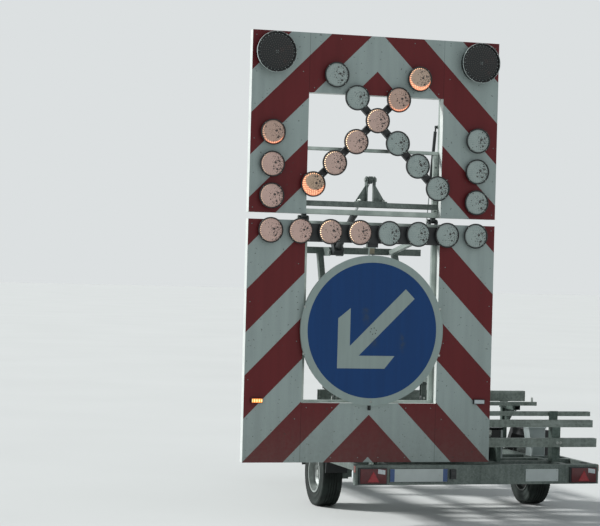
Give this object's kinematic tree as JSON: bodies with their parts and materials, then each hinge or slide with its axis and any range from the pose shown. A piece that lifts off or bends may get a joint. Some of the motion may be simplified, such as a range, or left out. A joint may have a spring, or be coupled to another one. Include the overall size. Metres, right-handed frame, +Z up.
{
  "type": "trailer-mounted warning board",
  "caption": "Road trailer with a folding striped warning board, amber arrow lamps and a blue direction disc, slid out to one side.",
  "frame": {"origin": "on the road, under the middle of the whole outline", "axes": "+X to the right of the direction of travel, +Y forward to the towing eye, +Z up"},
  "size_m": [3.294, 5, 4.116],
  "materials": {
    "galvanised": "hot-dip galvanised steel, dull",
    "rail_steel": "galvanised steel rail, worn bright",
    "forged_steel": "forged steel, dark",
    "zinc_plate": "zinc plated steel",
    "jockey_rubber": "solid rubber on a rim",
    "black_plastic": "moulded black plastic",
    "lamp_red": "moulded red lens",
    "blank_plate": "bare white plate",
    "cabinet_grey": "grey powder coat",
    "box_black": "black powder coat",
    "tyre_rubber": "worn tyre rubber",
    "rim_steel": "silver galvanised wheel rim",
    "board_film": "red and white retroreflective film on aluminium",
    "frame_alloy": "mill finish aluminium, dull",
    "black_bar": "black coated aluminium",
    "lamp_amber": "round lamps with black rims and amber lenses",
    "lamp_marker": "small amber marker lens",
    "disc_film": "blue and white retroreflective film on aluminium",
    "roller_nylon": "dark nylon roller",
    "hinge_black": "blackened steel",
    "flash_black": "black lamp housing with a dark lens",
    "drive_black": "black coated steel",
    "rod_chrome": "bright rod"
  },
  "bodies": {
    "chassis": {"rear_beam": "galvanised", "main_beams": "galvanised", "centre_beams": "galvanised", "side_rails": "galvanised", "cross_members": "galvanised", "front_beam": "galvanised", "drawbar": "galvanised", "drawbar_eye": "forged_steel", "jockey_leg": "zinc_plate", "jockey_wheel": "jockey_rubber", "axle": "galvanised", "mudguards": "black_plastic", "tail_lights": "lamp_red", "rear_plates": "blank_plate", "plate_lamp": "black_plastic", "rear_posts": "galvanised", "rear_rails": "rail_steel", "cable_rail": "rail_steel", "front_posts": "galvanised", "front_rails": "rail_steel", "control_cabinet": "cabinet_grey", "tool_box": "box_black", "battery_box": "cabinet_grey"},
    "wheel_left": {"tyre_left": "tyre_rubber", "rim_left": "rim_steel"},
    "wheel_right": {"tyre_right": "tyre_rubber", "rim_right": "rim_steel"},
    "board": {"lower_panel_left": "board_film", "lower_panel_right": "board_film", "lower_panel_bottom": "board_film", "lower_frame": "frame_alloy", "lamp_row_bar": "black_bar", "row_lamps": "lamp_amber", "sign_disc": "disc_film", "disc_rails": "frame_alloy", "marker_lights": "lamp_marker", "carriage_arms": "galvanised", "carriage_rollers": "roller_nylon", "trestle": "galvanised", "top_stays": "frame_alloy", "junction_box": "black_plastic", "lower_hinges": "hinge_black"},
    "upper_board": {"upper_panel_left": "board_film", "upper_panel_right": "board_film", "upper_panel_top": "board_film", "upper_frame": "frame_alloy", "lamp_cross": "black_bar", "cross_lamps": "lamp_amber", "column_lamps": "lamp_amber", "flash_lamps": "flash_black", "clevis_bracket": "hinge_black", "upper_hinges": "hinge_black"},
    "drive_barrel": {"actuator_barrel": "drive_black"},
    "drive_rod": {"actuator_rod": "rod_chrome"},
    "strut_barrel_body": {"strut_barrel": "drive_black"},
    "strut_rod_body": {"strut_rod": "rod_chrome"}
  },
  "joints": [
    {"name": "wheel_left_spin", "type": "hinge", "parent": "chassis", "child": "wheel_left", "pos_m": [-0.553, -1.205, 0.292], "axis": [1, 0, 0], "continuous": true},
    {"name": "wheel_right_spin", "type": "hinge", "parent": "chassis", "child": "wheel_right", "pos_m": [1.467, -1.205, 0.292], "axis": [1, 0, 0], "continuous": true},
    {"name": "board_slide", "type": "slide", "parent": "chassis", "child": "board", "axis": [1, 0, 0], "range_m": [0, 1]},
    {"name": "upper_fold", "type": "hinge", "parent": "board", "child": "upper_board", "pos_m": [-0.547, -2.265, 2.571], "axis": [-1, 0, 0], "range_deg": [0, 90]},
    {"name": "drive_foot_pivot", "type": "hinge", "parent": "board", "child": "drive_barrel", "pos_m": [-0.535, -1.35, 2.285], "axis": [1, 0, 0], "range_deg": [0, 8.5]},
    {"name": "drive_extend", "type": "slide", "parent": "drive_barrel", "child": "drive_rod", "axis": [0, -0.8262, 0.5634], "range_m": [-0.47, 0]},
    {"name": "strut_pivot", "type": "hinge", "parent": "upper_board", "child": "strut_barrel_body", "pos_m": [0.043, -2.274, 3.385], "axis": [-1, 0, 0], "range_deg": [0, 6]},
    {"name": "strut_extend", "type": "slide", "parent": "strut_barrel_body", "child": "strut_rod_body", "axis": [0, 0.2, -0.9798], "range_m": [-0.25, 0]}
  ],
  "couplings": [
    {"joint": "drive_foot_pivot", "follows": "upper_fold", "ratio": 0.088073},
    {"joint": "drive_extend", "follows": "upper_fold", "m_per_rad": -0.29509},
    {"joint": "strut_pivot", "follows": "upper_fold", "ratio": 0.062298},
    {"joint": "strut_extend", "follows": "upper_fold", "m_per_rad": -0.15375}
  ]
}
